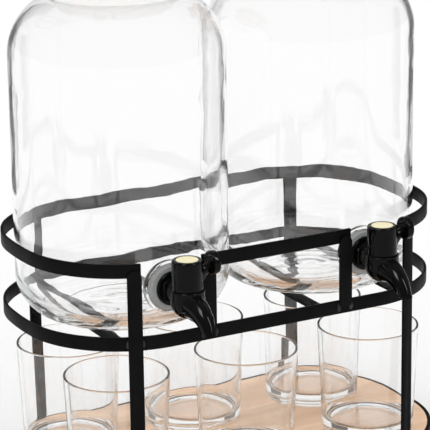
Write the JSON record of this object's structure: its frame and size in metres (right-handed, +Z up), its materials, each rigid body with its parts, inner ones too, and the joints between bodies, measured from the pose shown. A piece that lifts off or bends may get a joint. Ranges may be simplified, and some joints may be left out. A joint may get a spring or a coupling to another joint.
{
  "type": "drink dispenser",
  "caption": "Drink dispenser: glass jars with turning taps and lids in an oval flat-bar stand, over a wooden base that holds tumblers.",
  "frame": {"origin": "centre of the base's underside, on the surface it stands on", "axes": "+X along the oval's long side, -Y to the front where the taps are, +Z up"},
  "size_m": [0.3276, 0.228, 0.4047],
  "materials": {
    "glass": "clear polished",
    "powder_coat": "satin black powder coat",
    "wood": "fine-grained, satin lacquer",
    "tap_plastic": "glossy black moulding",
    "silicone": "translucent grey",
    "dark_rubber": "matt",
    "gold_disc": "pale gold, satin",
    "steel": "zinc plated"
  },
  "bodies": {
    "stand": {"wood_base": "wood", "base_rim": "powder_coat", "base_screws": "steel", "lower_hoop": "powder_coat", "upper_hoop": "powder_coat", "weld_beads": "powder_coat", "top_front_bar": "powder_coat", "front_left_post": "powder_coat", "front_right_post": "powder_coat", "back_left_post": "powder_coat", "back_right_post": "powder_coat", "left_short_upright": "powder_coat", "right_short_upright": "powder_coat", "left_outer_strap": "powder_coat", "left_inner_strap": "powder_coat", "right_inner_strap": "powder_coat", "right_outer_strap": "powder_coat"},
    "left_jar": {"left_jar": "glass", "left_tap_body": "tap_plastic", "left_tap_gasket": "silicone", "left_inner_gasket": "silicone", "left_tap_nut": "tap_plastic"},
    "left_tap_handle": {"left_tap_handle": "tap_plastic", "left_tap_disc": "gold_disc", "left_tap_o_ring": "dark_rubber"},
    "left_lid": {"left_lid": "wood", "left_lid_seal": "silicone", "left_lid_knob": "powder_coat", "left_lid_screw": "steel"},
    "right_jar": {"right_jar": "glass", "right_tap_body": "tap_plastic", "right_tap_gasket": "silicone", "right_inner_gasket": "silicone", "right_tap_nut": "tap_plastic"},
    "right_tap_handle": {"right_tap_handle": "tap_plastic", "right_tap_disc": "gold_disc", "right_tap_o_ring": "dark_rubber"},
    "right_lid": {"right_lid": "wood", "right_lid_seal": "silicone", "right_lid_knob": "powder_coat", "right_lid_screw": "steel"},
    "glass_1": {"glass_1": "glass"},
    "glass_2": {"glass_2": "glass"},
    "glass_3": {"glass_3": "glass"},
    "glass_4": {"glass_4": "glass"},
    "glass_5": {"glass_5": "glass"},
    "glass_6": {"glass_6": "glass"}
  },
  "joints": [
    {"name": "left_jar_lift", "type": "slide", "parent": "stand", "child": "left_jar", "axis": [0, 0, 1], "range_m": [0, 0.065]},
    {"name": "left_tap_turn", "type": "hinge", "parent": "left_jar", "child": "left_tap_handle", "pos_m": [-0.0775, -0.1, 0.162], "axis": [0, 0, 1], "range_deg": [-90, 0]},
    {"name": "left_lid_lift", "type": "slide", "parent": "left_jar", "child": "left_lid", "axis": [0, 0, 1], "range_m": [0, 0.035]},
    {"name": "right_jar_lift", "type": "slide", "parent": "stand", "child": "right_jar", "axis": [0, 0, 1], "range_m": [0, 0.065]},
    {"name": "right_tap_turn", "type": "hinge", "parent": "right_jar", "child": "right_tap_handle", "pos_m": [0.0775, -0.1, 0.162], "axis": [0, 0, 1], "range_deg": [-90, 0]},
    {"name": "right_lid_lift", "type": "slide", "parent": "right_jar", "child": "right_lid", "axis": [0, 0, 1], "range_m": [0, 0.035]},
    {"name": "glass_1_slide", "type": "slide", "parent": "stand", "child": "glass_1", "axis": [-1, 0, 0], "range_m": [0, 0.1]},
    {"name": "glass_2_slide", "type": "slide", "parent": "stand", "child": "glass_2", "axis": [0, -1, 0], "range_m": [0, 0.096]},
    {"name": "glass_3_slide", "type": "slide", "parent": "stand", "child": "glass_3", "axis": [1, 0, 0], "range_m": [0, 0.1]},
    {"name": "glass_4_slide", "type": "slide", "parent": "stand", "child": "glass_4", "axis": [-1, 0, 0], "range_m": [0, 0.1]},
    {"name": "glass_5_slide", "type": "slide", "parent": "stand", "child": "glass_5", "axis": [0, 1, 0], "range_m": [0, 0.096]},
    {"name": "glass_6_slide", "type": "slide", "parent": "stand", "child": "glass_6", "axis": [1, 0, 0], "range_m": [0, 0.1]}
  ]
}
